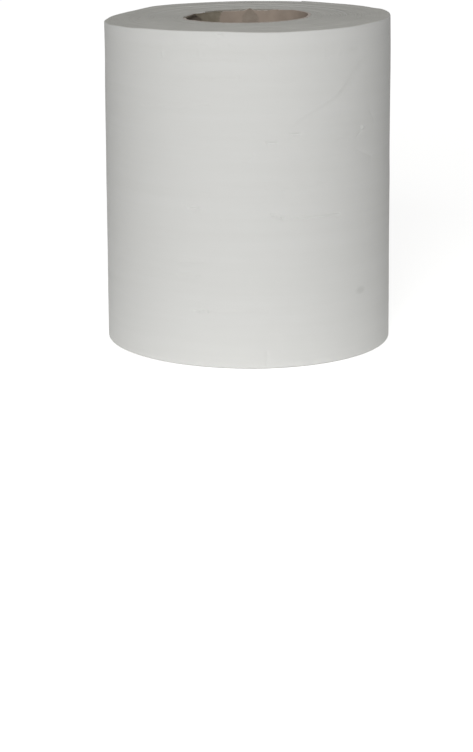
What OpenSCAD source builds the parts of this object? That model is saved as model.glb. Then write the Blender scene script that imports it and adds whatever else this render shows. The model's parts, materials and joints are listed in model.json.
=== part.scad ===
// Paper towel roll, standing on its end: a web of plain white paper wound on a spiral board core.
// The origin is the middle of the foot, on the surface that the roll stands on, with Z up the axis.

/* [Roll] */
// Diameter of the wound paper at its upper end
roll_d = 178; // [140:1:240]
// Height of the roll, measured on its axis
roll_h = 203; // [120:1:320]
// How much wider the soft paper has settled at its foot
foot_spread = 2.4; // [0:0.1:5]
// How much higher the upper end stands on its +X side than on its -X side
end_slant = 2.8; // [0:0.1:6]
// Width of the softened edge round each end
rim_soft = 1.2; // [0.6:0.1:3]

/* [Winding] */
// Spacing of the turn lines on the ends, each line for a bundle of sheets
turn_pitch = 3.4; // [3:0.1:8]
// Width of a turn line
turn_line_w = 0.9; // [0.4:0.1:1.2]
// Depth of a turn line
turn_line_depth = 0.4; // [0.2:0.05:0.8]
// Height of the step at the loose end of the web
tail_step = 0.4; // [0.1:0.1:1]
// Side on which the loose end lies, turned from +X towards +Y
tail_angle = 65; // [0:5:355]

/* [Core] */
// Diameter of the core's bore
core_bore = 76; // [40:0.5:90]
// Wall of the core, three plies of board glued together
core_wall = 1.8; // [1:0.1:4]
// How far the core has slipped up in the paper
core_slip = 0.5; // [0.2:0.1:2]
// Room between the core and the first turn of paper
winding_gap = 0.1; // [0.05:0.05:0.5]
// Width of the board strip that the inner ply is wound from
ply_w = 100; // [60:1:120]
// Width of the open seam between two turns of the inner ply
seam_w = 0.8; // [0.4:0.1:1.5]
// Depth of that seam, the thickness of one ply
seam_depth = 0.4; // [0.2:0.1:0.6]

/* [Hidden] */

$fn = 96;
// Facets of one turn line, which is drawn coarser than the roll itself
turn_line_fn = 44;
// Facets of one turn of the core's seam
seam_fn = 48;
// How far a cutter reaches past what it cuts
past = 1;
// A softened edge is cut in two slopes that meet at this depth
rim_shoulder = 0.3 * rim_soft;

roll_r = roll_d / 2;
foot_r = roll_r + foot_spread / 2;
core_r = core_bore / 2;
core_outer_r = core_r + core_wall;
winding_r = core_outer_r + winding_gap;
slant_angle = atan(end_slant / roll_d);
// Height that clears the upper end before it is cut to its slant
blank_h = roll_h + end_slant + core_slip + past;

// Lead of the inner ply's helix, at which a strip of its width closes edge to edge
bore_girth = 2 * PI * core_r;
ply_lead = ply_w * bore_girth / sqrt(bore_girth * bore_girth - ply_w * ply_w);

// Turn lines stop one pitch short of the outer rim and of the core
turn_count = floor((roll_r - winding_r - turn_pitch) / turn_pitch);

// Places its children on the slanted upper end, raised by lift
module on_upper_end(lift = 0) {
    translate([0, 0, roll_h + lift])
        rotate([0, -slant_angle, 0])
            children();
}

// All that lies above the slanted upper end, raised by lift
module above_upper_end(lift = 0) {
    on_upper_end(lift)
        cylinder(h = 2 * end_slant + 2 * core_slip + 4 * past, r = foot_r + end_slant + past);
}

// Half of the section through the wound paper, with its foot's edge softened
module web_section(inset) {
    polygon([
        [0, 0],
        [foot_r - inset - rim_soft, 0],
        [foot_r - inset - rim_shoulder, rim_shoulder],
        [foot_r - inset, rim_soft],
        [roll_r - inset, roll_h],
        [roll_r - inset, blank_h],
        [0, blank_h]
    ]);
}

// The wound paper before it is cut. Its outline is a spiral drawn as two half turns about centres
// that stand apart, so that it closes on itself with a step, the loose end of the web.
module web_blank() {
    rotate(tail_angle)
        for (half = [0, 1]) {
            shift = (half == 0 ? 1 : -1) * tail_step / 4;
            translate([shift, 0, 0])
                rotate(180 * half)
                    rotate_extrude(angle = 180)
                        web_section((1 + 2 * half) * tail_step / 4);
        }
}

// One half turn of a turn line, a shallow groove with sloping sides in a face at z = 0
module turn_line_half(r) {
    reach = turn_line_w / 2 * (1 + past / 2 / turn_line_depth);
    rotate_extrude(angle = 180, $fn = turn_line_fn)
        polygon([
            [r, -turn_line_depth],
            [r + reach, past / 2],
            [r - reach, past / 2]
        ]);
}

// The turn lines of one end: one spiral from the loose end inwards, as half turns about two centres
module turn_lines() {
    rotate(tail_angle)
        for (i = [0 : 2 * turn_count - 1]) {
            half = i % 2;
            translate([(half == 0 ? 1 : -1) * turn_pitch / 4, 0, 0])
                rotate(180 * half)
                    turn_line_half(roll_r - turn_pitch - i * turn_pitch / 2);
        }
}

// Ring that softens the edge of the upper end, in two slopes
module rim_cutter() {
    slope = (rim_soft - rim_shoulder) / rim_shoulder;
    rotate_extrude()
        polygon([
            [roll_r - rim_soft, 0],
            [roll_r - rim_shoulder, -rim_shoulder],
            [roll_r + past, -rim_soft - past * slope],
            [roll_r + 2 * past, -rim_soft - past * slope],
            [roll_r + 2 * past, past],
            [roll_r - rim_soft - past * slope, past]
        ]);
}

module wound_paper() {
    color("gainsboro")
        difference() {
            web_blank();
            translate([0, 0, -past])
                cylinder(h = blank_h + 2 * past, r = winding_r);
            above_upper_end();
            on_upper_end() {
                rim_cutter();
                turn_lines();
            }
            mirror([0, 0, 1])
                turn_lines();
        }
}

// Seam of the inner ply: a narrow helical gap in the wall of the bore
module ply_seam() {
    seam_h = blank_h + 2 * past;
    seam_turns = seam_h / ply_lead;
    translate([0, 0, -past])
        linear_extrude(
            height = seam_h,
            twist = -360 * seam_turns,
            slices = ceil(seam_turns * seam_fn),
            segments = 4
        )
            translate([core_r, 0])
                square([2 * seam_depth, seam_w], center = true);
}

module core() {
    color("tan")
        difference() {
            translate([0, 0, core_slip])
                cylinder(h = blank_h - core_slip, r = core_outer_r);
            translate([0, 0, -past])
                cylinder(h = blank_h + 2 * past, r = core_r);
            above_upper_end(core_slip);
            ply_seam();
        }
}

wound_paper();
core();
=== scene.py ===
import json
import math
import random
from typing import NamedTuple

import bpy
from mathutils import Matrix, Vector


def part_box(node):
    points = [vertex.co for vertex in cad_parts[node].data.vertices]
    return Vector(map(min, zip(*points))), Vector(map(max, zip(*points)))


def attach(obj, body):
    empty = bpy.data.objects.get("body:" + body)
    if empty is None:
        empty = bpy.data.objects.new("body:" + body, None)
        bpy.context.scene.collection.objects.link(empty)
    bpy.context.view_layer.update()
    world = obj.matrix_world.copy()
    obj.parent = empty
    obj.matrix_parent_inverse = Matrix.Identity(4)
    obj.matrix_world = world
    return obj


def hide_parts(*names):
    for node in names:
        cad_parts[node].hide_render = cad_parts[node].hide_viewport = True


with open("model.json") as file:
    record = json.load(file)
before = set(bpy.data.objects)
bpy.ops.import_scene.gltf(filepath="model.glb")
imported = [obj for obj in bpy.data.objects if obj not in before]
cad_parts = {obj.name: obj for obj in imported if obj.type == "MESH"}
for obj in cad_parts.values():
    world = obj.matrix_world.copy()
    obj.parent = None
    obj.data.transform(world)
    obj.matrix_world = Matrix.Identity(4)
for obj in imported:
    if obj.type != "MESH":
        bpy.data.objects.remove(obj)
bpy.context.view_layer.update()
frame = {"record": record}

# Looks of the paper towel roll: creped tissue wound on a board core. The script works in metres, in the
# frame of the CAD model: the roll stands on z = 0 and its front faces -Y. An azimuth is an angle about the
# axis in degrees, 0 at the front and 90 at +X.

MM = 0.001

# Sizes that come from the frame
paper_low, paper_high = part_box("wound_paper")
core_low, core_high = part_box("core")
core_mount = next(mount for mount in frame["record"]["mounts"] if mount["name"] == "core_bore")
FOOT_R = (paper_high.y - paper_low.y) / 2
CORE_OUTER_R = (core_high.y - core_low.y) / 2
CORE_R = core_mount["dims"]["r_mm"] * MM
CORE_WALL = CORE_OUTER_R - CORE_R
CORE_FOOT = core_low.z

# Sizes of the part's source that the frame's boxes don't give
FOOT_SPREAD = 2.4 * MM
END_SLANT = 2.8 * MM
TAIL_STEP = 0.4 * MM
TAIL_ANGLE = math.radians(65)
WINDING_GAP = 0.1 * MM
PLY_W = 100 * MM
PLY_DEPTH = 0.4 * MM
ROLL_R = FOOT_R - FOOT_SPREAD / 2
ROLL_H = paper_high.z - END_SLANT / 2
SLANT_ANGLE = math.atan(END_SLANT / (2 * ROLL_R))

# The sawn rim of the core lies almost level with the paper
CORE_TOP = ROLL_H + 0.05 * MM
# Rounding of the paper's rims
RIM_ROUND = 1.1 * MM
RIM_POINTS = 4
# How far the soft roll leans towards -X at its top, and how deep the slant of that end is felt
LEAN = 1.3 * MM
SLANT_FADE = 60 * MM
# Each piece is spun in this many steps, turned half a step so that the loose end falls between two
SPIN_STEPS = 300
STEP_ANGLE = 2 * math.pi / SPIN_STEPS
MERGE_DISTANCE = 0.01 * MM
# A vertex this near to a face or an edge lies on it
ON_FACE = 0.1 * MM
# How far in from the outline a vertex still counts as the side, before the roll leans and after
SIDE_DEPTH = 1.5 * MM
LEANT_SIDE_DEPTH = 3 * SIDE_DEPTH


# Selecting and shaping

def deselect_all():
    bpy.ops.object.select_all(action="DESELECT")


def select_only(piece):
    deselect_all()
    bpy.context.view_layer.objects.active = piece
    piece.select_set(True)


def edit(piece):
    """Opens one piece in edit mode with none of its vertices selected."""
    select_only(piece)
    bpy.ops.object.mode_set(mode="EDIT")
    bpy.ops.mesh.select_mode(type="VERT")
    bpy.ops.mesh.select_all(action="DESELECT")


def close_edit():
    bpy.ops.object.mode_set(mode="OBJECT")


def pick(piece, wanted):
    """Selects the vertices whose place passes the test."""
    bpy.ops.object.mode_set(mode="OBJECT")
    for vertex in piece.data.vertices:
        vertex.select = wanted(vertex.co)
    bpy.ops.object.mode_set(mode="EDIT")


def vertex_group(piece, name, wanted):
    group = piece.vertex_groups.new(name=name)
    group.add([v.index for v in piece.data.vertices if wanted(v.co)], 1.0, "REPLACE")
    return name


def apply_modifier(piece, modifier):
    select_only(piece)
    bpy.ops.object.modifier_apply(modifier=modifier.name)


def spun_ring(name, section):
    """A closed ring. Its section, a closed outline of (radius, height) points, is drawn by extruding
    one vertex from point to point, and is then spun about the axis."""
    deselect_all()
    bpy.ops.mesh.primitive_plane_add(size=MM)
    ring = bpy.context.object
    ring.name = name
    ring.data.name = name
    bpy.ops.object.mode_set(mode="EDIT")
    bpy.ops.mesh.merge(type="CENTER")
    place = Vector((section[0][0], 0, section[0][1]))
    bpy.ops.transform.translate(value=place)
    for r, z in section[1:]:
        target = Vector((r, 0, z))
        bpy.ops.mesh.extrude_region_move(TRANSFORM_OT_translate={"value": target - place})
        place = target
    bpy.ops.mesh.select_all(action="SELECT")
    bpy.ops.mesh.spin(steps=SPIN_STEPS, angle=2 * math.pi, center=(0, 0, 0), axis=(0, 0, 1))
    bpy.ops.mesh.select_all(action="SELECT")
    bpy.ops.mesh.remove_doubles(threshold=MERGE_DISTANCE)
    bpy.ops.mesh.normals_make_consistent(inside=False)
    bpy.ops.transform.rotate(value=STEP_ANGLE / 2, orient_axis="Z", center_override=(0, 0, 0))
    close_edit()
    return ring


def texture_space(sizes):
    """An empty that stretches the texture of one displacement, which removes it."""
    space = bpy.data.objects.new("texture_space", None)
    space.scale = sizes
    bpy.context.scene.collection.objects.link(space)
    bpy.context.view_layer.update()
    return space


def displace(piece, name, texture, strength, group, space=None, direction="NORMAL"):
    """Moves a vertex group of a piece by a procedural texture, read in the space of an empty if one is
    given, and applies it."""
    modifier = piece.modifiers.new(name, "DISPLACE")
    modifier.texture = texture
    modifier.strength = strength
    modifier.direction = direction
    modifier.vertex_group = group
    if space is not None:
        modifier.texture_coords = "OBJECT"
        modifier.texture_coords_object = space
    apply_modifier(piece, modifier)
    if space is not None:
        bpy.data.objects.remove(space)


def lift(piece, wanted, rise, reach, falloff="SMOOTH"):
    """Moves the chosen vertices up or down, and those within reach of them by less and less."""
    edit(piece)
    pick(piece, wanted)
    bpy.ops.transform.translate(
        value=(0, 0, rise),
        use_proportional_edit=True,
        proportional_edit_falloff=falloff,
        proportional_size=reach,
    )
    close_edit()


def slant_and_lean(piece):
    """Tips a piece's upper end up towards +X, as it was sawn, and lets the soft piece lean towards -X."""
    edit(piece)
    pick(piece, lambda co: co.z > ROLL_H - RIM_ROUND)
    bpy.ops.transform.rotate(
        value=SLANT_ANGLE,
        orient_axis="Y",
        center_override=(0, 0, ROLL_H),
        use_proportional_edit=True,
        proportional_edit_falloff="SMOOTH",
        proportional_size=SLANT_FADE,
    )
    bpy.ops.transform.translate(
        value=(-LEAN, 0, 0),
        use_proportional_edit=True,
        proportional_edit_falloff="LINEAR",
        proportional_size=ROLL_H - RIM_ROUND,
    )
    close_edit()


# Tests for places on the roll

def radius(co):
    return math.hypot(co.x, co.y)


def azimuth(co):
    return math.degrees(math.atan2(co.x, -co.y))


def in_span(co, first, last):
    """Whether a place lies between two azimuths, counted upwards from the first."""
    return (azimuth(co) - first) % 360 <= (last - first) % 360


def on_rim(first, last):
    """Test for the paper's upper rim between two azimuths."""
    return lambda co: (co.z > ROLL_H - RIM_ROUND and radius(co) > ROLL_R - 2 * RIM_ROUND
                       and in_span(co, first, last))


def on_inner_edge(first, last):
    """Test for the edge of the hole at the upper end between two azimuths, on either piece."""
    return lambda co: (co.z > ROLL_H - END_MARGIN and radius(co) < CORE_OUTER_R + 2 * WINDING_GAP
                       and in_span(co, first, last))


def on_core_rim(first, last):
    """Test for the sawn rim of the core between two azimuths."""
    return lambda co: co.z > CORE_TOP - ON_FACE and in_span(co, first, last)


def near_lines(lines, reach):
    """Test for the front of the roll's side within reach of any line of (azimuth, height) places."""
    segments = []
    for line in lines:
        places = [Vector((math.radians(turn) * ROLL_R, height)) for turn, height in line]
        segments += zip(places, places[1:])

    def near(co):
        if co.y > 0 or radius(co) < ROLL_R - LEANT_SIDE_DEPTH:
            return False
        place = Vector((math.radians(azimuth(co)) * ROLL_R, co.z))
        for start, end in segments:
            if not min(start.y, end.y) - reach < place.y < max(start.y, end.y) + reach:
                continue
            along = end - start
            share = min(max((place - start).dot(along) / along.length_squared, 0), 1)
            if (place - start - along * share).length < reach:
                return True
        return False

    return near


# Materials

# Paper and board are both cellulose
CELLULOSE_IOR = 1.5
# Sockets of a Mix node that mixes two colours
FACTOR = 0
COLOUR_A = 6
COLOUR_B = 7
MIXED = 2

# Sizes along X, Y and Z of what the patterns show. The winding's bands and lines run round the roll, and
# the crepe's ripple runs up it. Its real width of about 0.3 mm is too fine to show, so it is drawn coarser.
BAND_SIZE = (125 * MM, 125 * MM, 6.25 * MM)
LINE_SIZE = (55 * MM, 55 * MM, 3.85 * MM)
CREPE_SIZE = (1.1 * MM, 1.1 * MM, 8.3 * MM)
# Distance of the fine lines on the ends. The real sheets are far thinner, too fine to show.
SHEET_LINE_PITCH = 0.6 * MM
# Sizes of the cloudy patches on the sawn paper, on the board's face and on torn board, and of the board's
# fibres
BLOTCH_SIZE = 17 * MM
CLOUD_SIZE = 11 * MM
TORN_CLOUD_SIZE = 3.3 * MM
FIBRE_SIZE = 0.67 * MM

# A soft grey spot on the side: its place, its half height, how much wider than high it is, the part of it
# that is evenly grey, and how much of the grey it takes on there
SPOT_AZIMUTH = 49.7
SPOT_HEIGHT = 41.8 * MM
SPOT_R = 3.2 * MM
SPOT_WIDENING = 1.9
SPOT_EVEN_PART = 0.3
SPOT_STRENGTH = 0.15


def linear(hex_colour):
    """An sRGB hex colour as linear RGBA."""
    channels = [int(hex_colour[i:i + 2], 16) / 255 for i in (1, 3, 5)]
    return [c / 12.92 if c <= 0.04045 else ((c + 0.055) / 1.055) ** 2.4 for c in channels] + [1.0]


WHITE = linear("#FFFFFF")


def add(tree, kind, inputs=None, **settings):
    """Adds a node with its settings, and sets or links its inputs."""
    node = tree.nodes.new(kind)
    for key, value in settings.items():
        setattr(node, key, value)
    for name, value in (inputs or {}).items():
        if isinstance(value, bpy.types.NodeSocket):
            tree.links.new(value, node.inputs[name])
        else:
            node.inputs[name].default_value = value
    return node


def new_material(name, roughness, specular):
    """A material with its Principled shader set to even values, ready for its pattern."""
    material = bpy.data.materials.new(name)
    material.use_nodes = True
    shader = material.node_tree.nodes["Principled BSDF"]
    shader.inputs["Roughness"].default_value = roughness
    shader.inputs["IOR"].default_value = CELLULOSE_IOR
    shader.inputs["Specular IOR Level"].default_value = specular
    return material, material.node_tree, shader


def texture_scale(sizes):
    """Mapping scale at which a pattern shows these sizes along X, Y and Z."""
    return [1 / size for size in sizes]


def grey_spot(tree, place, clean):
    """Colour of the side with its soft grey spot, worked out from the colour that it has without one."""
    turn = math.radians(SPOT_AZIMUTH)
    middle = (math.sin(turn) * ROLL_R, -math.cos(turn) * ROLL_R, SPOT_HEIGHT)
    apart = add(tree, "ShaderNodeVectorMath", {0: place, 1: middle}, operation="SUBTRACT")
    drawn_in = add(tree, "ShaderNodeVectorMath", {
        0: apart.outputs[0], 1: (1 / SPOT_WIDENING, 1 / SPOT_WIDENING, 1),
    }, operation="MULTIPLY")
    away = add(tree, "ShaderNodeVectorMath", {0: drawn_in.outputs[0]}, operation="LENGTH")
    spot = add(tree, "ShaderNodeMapRange", {
        "Value": away.outputs["Value"], "From Min": SPOT_R, "From Max": SPOT_EVEN_PART * SPOT_R,
        "To Min": 0.0, "To Max": SPOT_STRENGTH,
    }, interpolation_type="SMOOTHSTEP")
    return add(tree, "ShaderNodeMix", {
        FACTOR: spot.outputs[0], COLOUR_A: clean, COLOUR_B: linear("#8D8E86"),
    }, data_type="RGBA").outputs[MIXED]


def creped_tissue():
    """Side of the roll: bleached tissue, creped on the drying cylinder. Matt, with a faint vertical
    ripple from the crepe and faint bands and lines round the roll from uneven winding."""
    material, tree, shader = new_material("bleached_creped_tissue", roughness=0.95, specular=0.2)
    place = add(tree, "ShaderNodeTexCoord").outputs["Object"]
    bands = add(tree, "ShaderNodeTexNoise", {
        "Vector": add(tree, "ShaderNodeMapping", {
            "Vector": place, "Scale": texture_scale(BAND_SIZE),
        }).outputs[0],
        "Scale": 1.0, "Detail": 3.0,
    })
    tone = add(tree, "ShaderNodeMix", {
        FACTOR: bands.outputs[0], COLOUR_A: linear("#DCDCD9"), COLOUR_B: linear("#E1E1DF"),
    }, data_type="RGBA")
    tree.links.new(grey_spot(tree, place, tone.outputs[MIXED]), shader.inputs["Base Color"])
    crepe = add(tree, "ShaderNodeTexNoise", {
        "Vector": add(tree, "ShaderNodeMapping", {
            "Vector": place, "Scale": texture_scale(CREPE_SIZE),
        }).outputs[0],
        "Scale": 1.0, "Detail": 2.0,
    })
    lines = add(tree, "ShaderNodeTexNoise", {
        "Vector": add(tree, "ShaderNodeMapping", {
            "Vector": place, "Scale": texture_scale(LINE_SIZE),
        }).outputs[0],
        "Scale": 1.0, "Detail": 2.0,
    })
    ripple = add(tree, "ShaderNodeBump", {
        "Height": crepe.outputs[0], "Strength": 0.25, "Distance": 0.1 * MM,
    })
    bump = add(tree, "ShaderNodeBump", {
        "Height": lines.outputs[0], "Strength": 0.6, "Distance": 0.3 * MM, "Normal": ripple.outputs[0],
    })
    tree.links.new(bump.outputs[0], shader.inputs["Normal"])
    return material


def sawn_tissue_edges():
    """Ends of the roll: the sawn edges of the turns. Matt, with fine lines that wind inwards, and a little
    greyer, partly since light sinks between the sheets and partly as painted shade of the upward-facing
    end."""
    material, tree, shader = new_material("sawn_tissue_edges", roughness=1.0, specular=0.1)
    place = add(tree, "ShaderNodeTexCoord").outputs["Object"]
    split = add(tree, "ShaderNodeSeparateXYZ", {"Vector": place})
    flat = add(tree, "ShaderNodeCombineXYZ", {"X": split.outputs[0], "Y": split.outputs[1]})
    away = add(tree, "ShaderNodeVectorMath", {0: flat.outputs[0]}, operation="LENGTH")
    turn = add(tree, "ShaderNodeMath", {0: split.outputs[1], 1: split.outputs[0]}, operation="ARCTAN2")
    wound = add(tree, "ShaderNodeMath", {
        0: away.outputs["Value"], 1: 2 * math.pi / SHEET_LINE_PITCH, 2: turn.outputs[0],
    }, operation="MULTIPLY_ADD")
    lines = add(tree, "ShaderNodeMath", {0: wound.outputs[0]}, operation="SINE")
    blotch = add(tree, "ShaderNodeTexNoise", {"Vector": place, "Scale": 1 / BLOTCH_SIZE, "Detail": 3.0})
    tone = add(tree, "ShaderNodeMix", {
        FACTOR: blotch.outputs[0], COLOUR_A: linear("#CFCEC8"), COLOUR_B: linear("#DBDAD4"),
    }, data_type="RGBA")
    tree.links.new(tone.outputs[MIXED], shader.inputs["Base Color"])
    bump = add(tree, "ShaderNodeBump", {"Height": lines.outputs[0], "Strength": 0.3, "Distance": 0.05 * MM})
    tree.links.new(bump.outputs[0], shader.inputs["Normal"])
    return material


def core_board():
    """Grey-brown board made from waste paper: matt, flecked with fibres of other colours."""
    material, tree, shader = new_material("recycled_core_board", roughness=0.9, specular=0.2)
    place = add(tree, "ShaderNodeTexCoord").outputs["Object"]
    cloud = add(tree, "ShaderNodeTexNoise", {"Vector": place, "Scale": 1 / CLOUD_SIZE, "Detail": 5.0})
    tone = add(tree, "ShaderNodeMix", {
        FACTOR: cloud.outputs[0], COLOUR_A: linear("#94887C"), COLOUR_B: linear("#BCADA0"),
    }, data_type="RGBA")
    tree.links.new(tone.outputs[MIXED], shader.inputs["Base Color"])
    fibre = add(tree, "ShaderNodeTexNoise", {"Vector": place, "Scale": 1 / FIBRE_SIZE, "Detail": 3.0})
    bump = add(tree, "ShaderNodeBump", {"Height": fibre.outputs[0], "Strength": 0.4, "Distance": 0.1 * MM})
    tree.links.new(bump.outputs[0], shader.inputs["Normal"])
    return material


def bare_fibres(name, hex_dark, hex_light):
    """Board where it is torn or sawn, board painted darker as shade in the pit, or paper painted grey as
    shade: matt, rough and cloudy.
    """
    material, tree, shader = new_material(name, roughness=1.0, specular=0.1)
    place = add(tree, "ShaderNodeTexCoord").outputs["Object"]
    cloud = add(tree, "ShaderNodeTexNoise", {
        "Vector": place, "Scale": 1 / TORN_CLOUD_SIZE, "Detail": 5.0,
    })
    tone = add(tree, "ShaderNodeMix", {
        FACTOR: cloud.outputs[0], COLOUR_A: linear(hex_dark), COLOUR_B: linear(hex_light),
    }, data_type="RGBA")
    tree.links.new(tone.outputs[MIXED], shader.inputs["Base Color"])
    bump = add(tree, "ShaderNodeBump", {"Height": cloud.outputs[0], "Strength": 0.6, "Distance": 0.3 * MM})
    tree.links.new(bump.outputs[0], shader.inputs["Normal"])
    return material


# The wound paper

# Plain margins beside the core and inside the rim. Between them sheets lie in bundles of uneven width,
# parted by fine gaps that stand open a little.
END_MARGIN = 0.8 * MM
BUNDLE_MIN = 1.2 * MM
BUNDLE_MAX = 2.3 * MM
BUNDLE_RISE = 0.10 * MM
GAP_HALF = 0.22 * MM
GAP_DEPTH = (0.06 * MM, 0.22 * MM)
# Share of a bundle's rise that the next one keeps
RISE_KEPT = 0.6
WINDING_SEED = 11
# Rows of vertices down the side and up the inner wall
SIDE_ROWS = 84
WALL_ROWS = 10


def end_outline(rng, inner_r, outer_r):
    """(radius, rise) points across one end, from the core outwards."""
    points = [(inner_r, 0.0)]
    r = inner_r + END_MARGIN
    rise = 0.0
    while r < outer_r - END_MARGIN:
        depth = rng.uniform(*GAP_DEPTH)
        points.append((r - GAP_HALF, rise))
        points.append((r, rise - depth))
        rise = RISE_KEPT * rise + rng.uniform(-BUNDLE_RISE, BUNDLE_RISE)
        points.append((r + GAP_HALF, rise))
        r += rng.uniform(BUNDLE_MIN, BUNDLE_MAX)
    points.append((outer_r, 0.0))
    return points


def paper_section():
    """Closed outline of the wound paper: up the inner wall, over the top, down the side, under the foot."""
    rng = random.Random(WINDING_SEED)
    inner_r = CORE_OUTER_R + WINDING_GAP
    outline = [(inner_r, ROLL_H * i / WALL_ROWS) for i in range(WALL_ROWS)]
    outline += [(r, ROLL_H + rise) for r, rise in end_outline(rng, inner_r, ROLL_R - RIM_ROUND)]
    quarter = [math.pi / 2 * i / RIM_POINTS for i in range(1, RIM_POINTS + 1)]
    outline += [
        (ROLL_R - RIM_ROUND * (1 - math.sin(a)), ROLL_H - RIM_ROUND * (1 - math.cos(a))) for a in quarter
    ]
    top, foot = ROLL_H - RIM_ROUND, RIM_ROUND
    for i in range(1, SIDE_ROWS + 1):
        z = top + (foot - top) * i / SIDE_ROWS
        outline.append((FOOT_R + (ROLL_R - FOOT_R) * z / ROLL_H, z))
    outline += [
        (FOOT_R - RIM_ROUND * (1 - math.cos(a)), RIM_ROUND * (1 - math.sin(a))) for a in quarter
    ]
    under = end_outline(rng, inner_r, FOOT_R - RIM_ROUND)
    outline += [(r, max(-rise, 0.0)) for r, rise in reversed(under[:-1])]
    return outline


paper = spun_ring("paper_web", paper_section())

# The outermost turn: its radius falls by one step round the roll, from the loose end back to it. The
# texture jumps at -X. The step there is drawn together to a fifth of its width, and the roll is turned
# until the loose end is in its place.
STEP_NARROWING = 0.8
on_side = vertex_group(paper, "side", lambda co: radius(co) > ROLL_R - SIDE_DEPTH)
ramp = bpy.data.textures.new("last_turn", "BLEND")
ramp.progression = "RADIAL"
displace(paper, "last_turn", ramp, TAIL_STEP, on_side)
edit(paper)
pick(paper, lambda co: radius(co) > ROLL_R - SIDE_DEPTH and co.x < 0 and 0 < co.y < STEP_ANGLE * ROLL_R)
bpy.ops.transform.rotate(value=-STEP_NARROWING * STEP_ANGLE, orient_axis="Z", center_override=(0, 0, 0))
bpy.ops.mesh.select_all(action="SELECT")
bpy.ops.transform.rotate(value=-(TAIL_ANGLE - math.pi), orient_axis="Z", center_override=(0, 0, 0))
close_edit()

# The side is creped tissue, and the ends, whose faces look up or down, are sawn. The first turn, the
# paper's wall in the bore, is painted grey as shade, apart from its torn edge at the left, which keeps the
# side's white.
SIDE_MATERIAL = 0
END_MATERIAL = 1
SHADED_TURN_MATERIAL = 2
END_FACE_SLOPE = 0.6
TORN_TURN_SPAN = (222, 290)
TORN_TURN_DEPTH = 26 * MM
paper.data.materials.append(creped_tissue())
paper.data.materials.append(sawn_tissue_edges())
# Painted shade: the first turn's grey stands in for the shade inside the bore
paper.data.materials.append(bare_fibres("first_turn_painted_shade", "#8A867E", "#A09C94"))
for face in paper.data.polygons:
    if abs(face.normal.z) > END_FACE_SLOPE:
        face.material_index = END_MATERIAL
    elif radius(face.center) < CORE_OUTER_R + 2 * WINDING_GAP:
        torn = face.center.z > ROLL_H - TORN_TURN_DEPTH and in_span(face.center, *TORN_TURN_SPAN)
        face.material_index = SIDE_MATERIAL if torn else SHADED_TURN_MATERIAL

# Winding tension leaves faint bands round the side, and the soft paper lies a little unevenly
BAND_RELIEF = 0.060 * MM
BAND_STRETCH = (120 * MM, 120 * MM, 16 * MM)
SAG_RELIEF = 0.40 * MM
SAG_STRETCH = (90 * MM, 90 * MM, 90 * MM)
cloud_texture = bpy.data.textures.new("soft_clouds", "CLOUDS")
cloud_texture.noise_scale = 0.5
cloud_texture.noise_depth = 3
displace(paper, "tension_bands", cloud_texture, BAND_RELIEF, on_side, texture_space(BAND_STRETCH))
displace(paper, "soft_unevenness", cloud_texture, SAG_RELIEF, on_side, texture_space(SAG_STRETCH))

# The saw cut wandered: the rim stands up a little at the front's left, at the right and at the back, and
# hangs down at the front's right and at the left. Each row has its first and last azimuth, rise and reach.
RIM_WANDER = [
    (-40, -12, 0.7 * MM, 26 * MM),
    (14, 44, -0.4 * MM, 20 * MM),
    (-92, -72, -0.6 * MM, 20 * MM),
    (-125, -98, -0.9 * MM, 22 * MM),
    (86, 104, 0.6 * MM, 16 * MM),
    (165, 225, 0.6 * MM, 40 * MM),
]
for first, last, rise, reach in RIM_WANDER:
    lift(paper, on_rim(first, last), rise, reach)

# The first turns follow the core, which stands a little higher at the right and lower at the left
CORE_WANDER = [(84, 132, 0.5 * MM), (252, 290, -0.5 * MM)]
CORE_WANDER_REACH = 8 * MM
for first, last, rise in CORE_WANDER:
    lift(paper, on_inner_edge(first, last), rise, CORE_WANDER_REACH)

# The ends of the innermost turns are frayed
FRAY_RELIEF = 0.5 * MM
FRAY_STRETCH = (4 * MM, 4 * MM, 4 * MM)
on_fray = vertex_group(paper, "fray", lambda co: radius(co) < CORE_OUTER_R + 2 * END_MARGIN)
displace(paper, "frayed_turns", cloud_texture, FRAY_RELIEF, on_fray, texture_space(FRAY_STRETCH))

slant_and_lean(paper)

# The foot stands flat on the floor
edit(paper)
pick(paper, lambda co: co.z < 0)
bpy.ops.transform.resize(value=(1, 1, 0), center_override=(0, 0, 0))
close_edit()


# Creases of the outer turn

def beside(line, turn, drop):
    """A line of (azimuth, height) places moved round the roll and down."""
    return [(line_turn + turn, height - drop) for line_turn, height in line]


# Half width of a crease's sharp middle, and how far round it the mesh is cut finer
CREASE_CORE = 0.35 * MM
CREASE_REACH = 3 * MM
CREASE_CUTS = 3
# The long crease runs from below the rim at the right down towards the front
LONG_CREASE = [
    (53.5, 186.9 * MM), (47.6, 182.6 * MM), (43.0, 176.8 * MM), (39.4, 169.4 * MM), (35.0, 163.4 * MM),
    (29.2, 158.9 * MM), (22.2, 154.1 * MM), (17.6, 149.6 * MM), (12.2, 144 * MM),
]
# The long crease's steep lower side, and the place below it where the paper dips a little
CREASE_SIDE = beside(LONG_CREASE, 0.9, 1.2 * MM)
CREASE_DIP = beside(LONG_CREASE, 2.4, 3.1 * MM)
ALL_BUT_ENDS = slice(1, -1)
SHARPER_PART = slice(3, -1)

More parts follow.
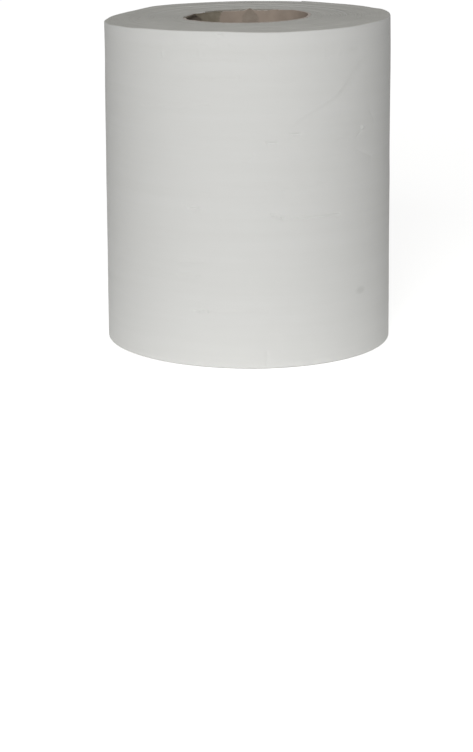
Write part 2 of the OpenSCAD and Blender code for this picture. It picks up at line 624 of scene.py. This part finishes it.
# Creases and small marks where the photograph shows them: how far they stand out, or lie in where that is
# negative, their width, and lines of (azimuth, height) places
CREASES = [
    # The long crease
    (-0.14 * MM, 7.0 * MM, [CREASE_DIP[ALL_BUT_ENDS]]),
    (0.11 * MM, 5.0 * MM, [LONG_CREASE]),
    (-0.09 * MM, 3.5 * MM, [CREASE_SIDE]),
    (0.06 * MM, 3.0 * MM, [LONG_CREASE[SHARPER_PART]]),
    (-0.08 * MM, 2.5 * MM, [CREASE_SIDE[SHARPER_PART]]),
    # Dashes and short lines that show plainly
    (-0.50 * MM, 1.6 * MM, [
        [(6.9, 137.9 * MM), (10.4, 137.8 * MM)],
        [(15.9, 142.9 * MM), (19.5, 142.6 * MM)],
        [(12.8, 92.3 * MM), (26.4, 91.9 * MM), (37.6, 91.9 * MM)],
    ]),
    (-0.60 * MM, 1.6 * MM, [
        [(-24.3, 98.3 * MM), (-21.7, 97.7 * MM), (-19.7, 97.9 * MM)],
        [(8.6, 94.8 * MM), (12.8, 92.3 * MM)],
        [(-21.5, 34.4 * MM), (-16.5, 35.1 * MM)],
        [(-12.4, 200.9 * MM), (-10.5, 201.2 * MM)],
    ]),
    # Faint lines
    (-0.22 * MM, 2.0 * MM, [
        [(13.2, 109.6 * MM), (22.1, 110.3 * MM), (32.6, 112.3 * MM)],
        [(-16.5, 35.1 * MM), (6.8, 35.8 * MM)],
        [(-31.8, 194.1 * MM), (-8.2, 195.6 * MM)],
        [(-28.8, 185.0 * MM), (-5.6, 186.3 * MM)],
        [(-28.8, 175.0 * MM), (-4.5, 176.4 * MM)],
        [(-45.7, 156.6 * MM), (-16.4, 160.1 * MM)],
        [(-27.8, 64.1 * MM), (-17.3, 65.5 * MM)],
        [(-28.7, 55.9 * MM), (-19.3, 57.3 * MM)],
        [(6.8, 1.5 * MM), (6.8, 10.6 * MM)],
        [(43.4, 189.8 * MM), (47.7, 189.9 * MM)],
        [(36.7, 137.0 * MM), (43, 138.4 * MM)],
        [(1.8, 139.2 * MM), (6.9, 138.9 * MM)],
        [(0.9, 130.2 * MM), (-1.9, 126.1 * MM)],
        [(4.9, 188.1 * MM), (7.6, 185.7 * MM)],
        [(7.2, 183.9 * MM), (10.3, 184.4 * MM)],
        [(55.3, 151.9 * MM), (58.8, 145.8 * MM)],
    ]),
    (-0.30 * MM, 4.0 * MM, [[(47.7, 129 * MM), (56.7, 123.5 * MM)]]),
    # Short upright ridges below the rim
    (0.12 * MM, 1.2 * MM, [
        [(30.1, 185.4 * MM), (30.1, 191.3 * MM)],
        [(36.4, 185.9 * MM), (37.1, 190.0 * MM)],
        [(-19.5, 188.6 * MM), (-19.5, 191.6 * MM)],
    ]),
    (0.34 * MM, 1.2 * MM, [[(-35.1, 187.2 * MM), (-35.1, 190.2 * MM)]]),
    # A fleck of lifted fibres
    (-0.22 * MM, 1.2 * MM, [[(46.8, 137.5 * MM), (49.8, 140.4 * MM)]]),
    (0.60 * MM, 1.0 * MM, [[(50.1, 141.6 * MM), (51.0, 142.0 * MM)]]),
]

# The mesh is cut finer round them first
edit(paper)
pick(paper, near_lines([line for _, _, lines in CREASES for line in lines], CREASE_REACH))
bpy.ops.mesh.subdivide(number_cuts=CREASE_CUTS)
close_edit()
for height, width, lines in CREASES:
    edit(paper)
    pick(paper, near_lines(lines, CREASE_CORE))
    bpy.ops.transform.shrink_fatten(
        value=height,
        use_proportional_edit=True,
        proportional_edit_falloff="SHARP",
        proportional_size=width,
    )
    close_edit()


# The board core

# The bore's wall has close rows of vertices near the rim, where it shows, and wide ones below
WALL_NEAR_ROWS = 30
WALL_NEAR_ROW = 0.5 * MM
WALL_FAR_ROWS = 40
RIM_CUTS = 4


def core_section():
    """Closed outline of the core: down the bore, across the foot, up the outside, across the rim."""
    near_end = CORE_TOP - WALL_NEAR_ROWS * WALL_NEAR_ROW
    heights = [CORE_TOP - WALL_NEAR_ROW * i for i in range(WALL_NEAR_ROWS)]
    heights += [near_end + (CORE_FOOT - near_end) * i / WALL_FAR_ROWS for i in range(WALL_FAR_ROWS + 1)]
    outline = [(CORE_R, z) for z in heights]
    outline += [(CORE_OUTER_R, z) for z in reversed(heights)]
    outline += [(CORE_OUTER_R - CORE_WALL * i / RIM_CUTS, CORE_TOP) for i in range(1, RIM_CUTS + 1)]
    return outline


core = spun_ring("board_core", core_section())

# The inner ply is a strip of board wound in a helix. Twisting the tube turns its rows of vertices into
# helices of that lead, and one of them is opened as the seam between two turns of the strip. The seam's
# azimuth is the one before the twist.
SEAM_AZIMUTH = 40
SEAM_HALF_ANGLE = 1.3
on_seam = vertex_group(
    core, "seam",
    lambda co: radius(co) < CORE_R + ON_FACE and abs(azimuth(co) - SEAM_AZIMUTH) < SEAM_HALF_ANGLE,
)
bore_girth = 2 * math.pi * CORE_R
ply_lead = PLY_W * bore_girth / math.sqrt(bore_girth**2 - PLY_W**2)
twist = core.modifiers.new("ply_helix", "SIMPLE_DEFORM")
twist.deform_method = "TWIST"
twist.deform_axis = "Z"
twist.angle = 2 * math.pi * (CORE_TOP - CORE_FOOT) / ply_lead
apply_modifier(core, twist)
edit(core)
core.vertex_groups.active_index = core.vertex_groups[on_seam].index
bpy.ops.object.vertex_group_select()
bpy.ops.transform.shrink_fatten(value=-PLY_DEPTH)
close_edit()


class Patch(NamedTuple):
    """A bare patch of the bore's wall. It has the azimuths of its two sides at the rim, counted from 0 to
    360, how far the two have moved at SLIDE_DEPTH, the depths of its top and bottom under the rim, and
    how much it is sunk."""
    sides: tuple
    slides: tuple
    depths: tuple
    sunk: float


SLIDE_DEPTH = 4.5 * MM
# The board that shows where the inner ply is torn away at the left, the pit at the front end of that tear,
# where the board is gone almost to the paper, and a tongue of the ply beneath, left standing at the back
# with its point above the torn rim
PATCHES = {
    "torn_core_board": Patch((204, 272), (3, 0), (-1 * MM, 12 * MM), PLY_DEPTH),
    # The pit is sunk, and its board is also painted dark as shade of the deep pit
    "pit_board_painted_shade": Patch((238, 268), (-10, 0), (0.3 * MM, 7 * MM), 1.0 * MM),
    "core_board_under_ply": Patch((174.7, 178.3), (-6.2, 6.2), (-1 * MM, 14 * MM), 0.15 * MM),
}
# How far the lower edge of a patch strays, and its waves: how many go round, and the share of each
PATCH_FRAY = 0.8 * MM
FRAY_WAVES = [(37, 1.0), (83, 0.6)]
# How deep in the wall a patch still takes vertices with it, and how deep it bares faces
PATCH_VERTEX_DEPTH = 0.7 * MM
PATCH_FACE_DEPTH = 1.6 * MM


def on_patch(name, place):
    """Whether a place on the bore's wall belongs to a bare patch."""
    patch = PATCHES[name]
    turn = azimuth(place) % 360
    depth = CORE_TOP - place.z
    slid = min(max(depth / SLIDE_DEPTH, 0), 1)
    first_side, last_side = [side + slide * slid for side, slide in zip(patch.sides, patch.slides)]
    top, bottom = patch.depths
    fray = PATCH_FRAY * sum(share * math.sin(math.radians(count * turn)) for count, share in FRAY_WAVES)
    return top < depth < bottom + fray and first_side < turn < last_side


def patch_vertices(name):
    """Test for the vertices that are sunk with a bare patch."""
    return lambda co: radius(co) < CORE_R + PATCH_VERTEX_DEPTH and on_patch(name, co)


for patch_name, patch in PATCHES.items():
    edit(core)
    pick(core, patch_vertices(patch_name))
    bpy.ops.transform.shrink_fatten(value=-patch.sunk)
    close_edit()
bare_faces = {}
for face in core.data.polygons:
    if radius(face.center) < CORE_R + PATCH_FACE_DEPTH:
        for patch_name in PATCHES:
            if on_patch(patch_name, face.center):
                bare_faces[face.index] = patch_name

# The core's rim is torn lower at the left and at the back, on both sides of the tongue, whose point stands
# above it. Each row has its first and last azimuth, rise, reach and falloff.
CORE_RIM_TEARS = [
    (212, 262, -0.7 * MM, 5 * MM, "SMOOTH"),
    (182, 210, -0.8 * MM, 3 * MM, "SMOOTH"),
    (158, 173, -0.8 * MM, 5 * MM, "SHARP"),
    (176, 178, 0.5 * MM, 3 * MM, "LINEAR"),
]
for first, last, rise, reach, falloff in CORE_RIM_TEARS:
    lift(core, on_core_rim(first, last), rise, reach, falloff)
for first, last, rise in CORE_WANDER:
    lift(core, on_inner_edge(first, last), rise, CORE_WANDER_REACH)

# Where it is torn, the rim is ragged
RAGGED_SPAN = (140, 290)
RAGGED_DEPTH = 5 * MM
RAGGED_RELIEF = 0.9 * MM
RAGGED_STRETCH = (3 * MM, 3 * MM, 6 * MM)
on_torn_rim = vertex_group(
    core, "torn_rim", lambda co: co.z > CORE_TOP - RAGGED_DEPTH and in_span(co, *RAGGED_SPAN)
)
displace(
    core, "ragged_rim", cloud_texture, RAGGED_RELIEF, on_torn_rim, texture_space(RAGGED_STRETCH),
    direction="Z",
)
slant_and_lean(core)

# Dark and light colour of each bare face of board
BARE_BOARD = {
    "torn_core_board": ("#7E7768", "#A0988A"),
    # The pit's dark colours are painted shade
    "pit_board_painted_shade": ("#6E675E", "#857D73"),
    "core_board_under_ply": ("#8C8176", "#ADA296"),
    "sawn_core_rim": ("#C9C0B8", "#DCD4CC"),
}
RIM_FACE_SLOPE = 0.8
core.data.materials.append(core_board())
for board_name, (board_dark, board_light) in BARE_BOARD.items():
    core.data.materials.append(bare_fibres(board_name, board_dark, board_light))
for face in core.data.polygons:
    on_sawn_face = abs(face.normal.z) > RIM_FACE_SLOPE
    board_name = bare_faces.get(face.index, "sawn_core_rim" if on_sawn_face else "")
    if board_name:
        face.material_index = core.data.materials.find(board_name)


def finish_piece(piece, node, smooth_angle):
    """Shades a piece smooth up to an angle, puts it on its body and lets it stand for its CAD node."""
    select_only(piece)
    bpy.ops.object.shade_smooth_by_angle(angle=math.radians(smooth_angle))
    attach(piece, "root")
    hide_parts(node)


finish_piece(paper, "wound_paper", smooth_angle=50)
finish_piece(core, "core", smooth_angle=40)


# Floor and background

# Light that the floor seems to give off to the camera alone, which makes it white and keeps its shadow.
# It grows with the distance from the roll, as the softbox reaches less of the floor there.
FLOOR_SIZE = 12
FLOOR_LIFT = (0.68, 0.77)
LIFT_FROM = 0.45
LIFT_TO = 1.7
WORLD_STRENGTH = 0.255


def seen_rays(tree):
    """1 for what the camera sees, straight or through gloss or glass, and 0 for what lights the object."""
    rays = add(tree, "ShaderNodeLightPath")
    seen = add(tree, "ShaderNodeMath", {
        0: rays.outputs["Is Camera Ray"], 1: rays.outputs["Is Glossy Ray"],
    }, operation="MAXIMUM")
    return add(tree, "ShaderNodeMath", {
        0: seen.outputs[0], 1: rays.outputs["Is Transmission Ray"],
    }, operation="MAXIMUM").outputs[0]


def white_sweep():
    """Matt white paper sweep under the roll, which takes its shadow and looks white to the camera."""
    material, tree, shader = new_material("white_sweep", roughness=1.0, specular=0.0)
    shader.inputs["Base Color"].default_value = linear("#F4F4F2")
    place = add(tree, "ShaderNodeTexCoord").outputs["Object"]
    away = add(tree, "ShaderNodeVectorMath", {0: place}, operation="LENGTH")
    glow_strength = add(tree, "ShaderNodeMapRange", {
        "Value": away.outputs["Value"], "From Min": LIFT_FROM, "From Max": LIFT_TO,
        "To Min": FLOOR_LIFT[0], "To Max": FLOOR_LIFT[1],
    })
    seen_strength = add(tree, "ShaderNodeMath", {
        0: seen_rays(tree), 1: glow_strength.outputs[0],
    }, operation="MULTIPLY")
    glow = add(tree, "ShaderNodeEmission", {"Color": WHITE, "Strength": seen_strength.outputs[0]})
    both = add(tree, "ShaderNodeAddShader", {0: shader.outputs[0], 1: glow.outputs[0]})
    tree.links.new(both.outputs[0], tree.nodes["Material Output"].inputs["Surface"])
    return material


def studio_world():
    """A dim even surround that looks white to the camera."""
    world = bpy.data.worlds.new("studio")
    world.use_nodes = True
    tree = world.node_tree
    dim = tree.nodes["Background"]
    dim.inputs["Color"].default_value = WHITE
    dim.inputs["Strength"].default_value = WORLD_STRENGTH
    white = add(tree, "ShaderNodeEmission", {"Color": WHITE, "Strength": 1.0})
    mix = add(tree, "ShaderNodeMixShader", {0: seen_rays(tree), 1: dim.outputs[0], 2: white.outputs[0]})
    tree.links.new(mix.outputs[0], tree.nodes["World Output"].inputs["Surface"])
    return world


deselect_all()
bpy.ops.mesh.primitive_plane_add(size=FLOOR_SIZE, location=(0, 0, 0))
floor = bpy.context.object
floor.name = "floor"
floor.data.materials.append(white_sweep())

scene = bpy.context.scene
scene.view_settings.view_transform = "Standard"
scene.world = studio_world()


# Light and camera

# A softbox stands in front of the roll, a little to its left
SOFTBOX_PLACE = (-0.28, -2.2, 1.0)
SOFTBOX_AIM = (0, 0, 0.1)
SOFTBOX_SIZE = 1.0
SOFTBOX_POWER = 28.1
# A disk of faint light under the foot shines upwards and brightens the lowest part of the side
BOUNCE_PLACE = (0, 0, 0.5 * MM)
BOUNCE_TURN = (math.pi, 0, 0)
BOUNCE_SIZE = 0.42
BOUNCE_POWER = 0.125
# The camera stands where the photograph's perspective puts it: its lens is worked out from a focal
# length of 2189 px on the photograph's 752 px height. The sensor's size is in millimetres.
CAMERA_PLACE = (-7.8 * MM, -1371 * MM, 349.7 * MM)
CAMERA_PITCH = math.radians(15.45)
FOCAL_PX = 2189
PHOTO_H_PX = 752
SENSOR_SIZE = 36


def turn_towards(place, aim):
    """Rotation of a lamp at one place that shines at another."""
    return (Vector(aim) - Vector(place)).to_track_quat("-Z", "Y").to_euler()


def area_light(name, shape, size, power, place, turn):
    """An area lamp that the camera doesn't see."""
    lamp = bpy.data.lights.new(name, "AREA")
    lamp.shape = shape
    lamp.size = size
    lamp.energy = power
    holder = bpy.data.objects.new(name, lamp)
    holder.location = place
    holder.rotation_euler = turn
    holder.visible_camera = False
    scene.collection.objects.link(holder)


softbox_turn = turn_towards(SOFTBOX_PLACE, SOFTBOX_AIM)
area_light("front_softbox", "SQUARE", SOFTBOX_SIZE, SOFTBOX_POWER, SOFTBOX_PLACE, softbox_turn)
area_light("foot_bounce", "DISK", BOUNCE_SIZE, BOUNCE_POWER, BOUNCE_PLACE, BOUNCE_TURN)

camera_data = bpy.data.cameras.new("camera")
camera_data.sensor_width = SENSOR_SIZE
camera_data.lens = FOCAL_PX / PHOTO_H_PX * SENSOR_SIZE
camera = bpy.data.objects.new("camera", camera_data)
camera.location = CAMERA_PLACE
camera.rotation_euler = (math.pi / 2 - CAMERA_PITCH, 0, 0)
scene.collection.objects.link(camera)
scene.camera = camera

bpy.context.view_layer.update()
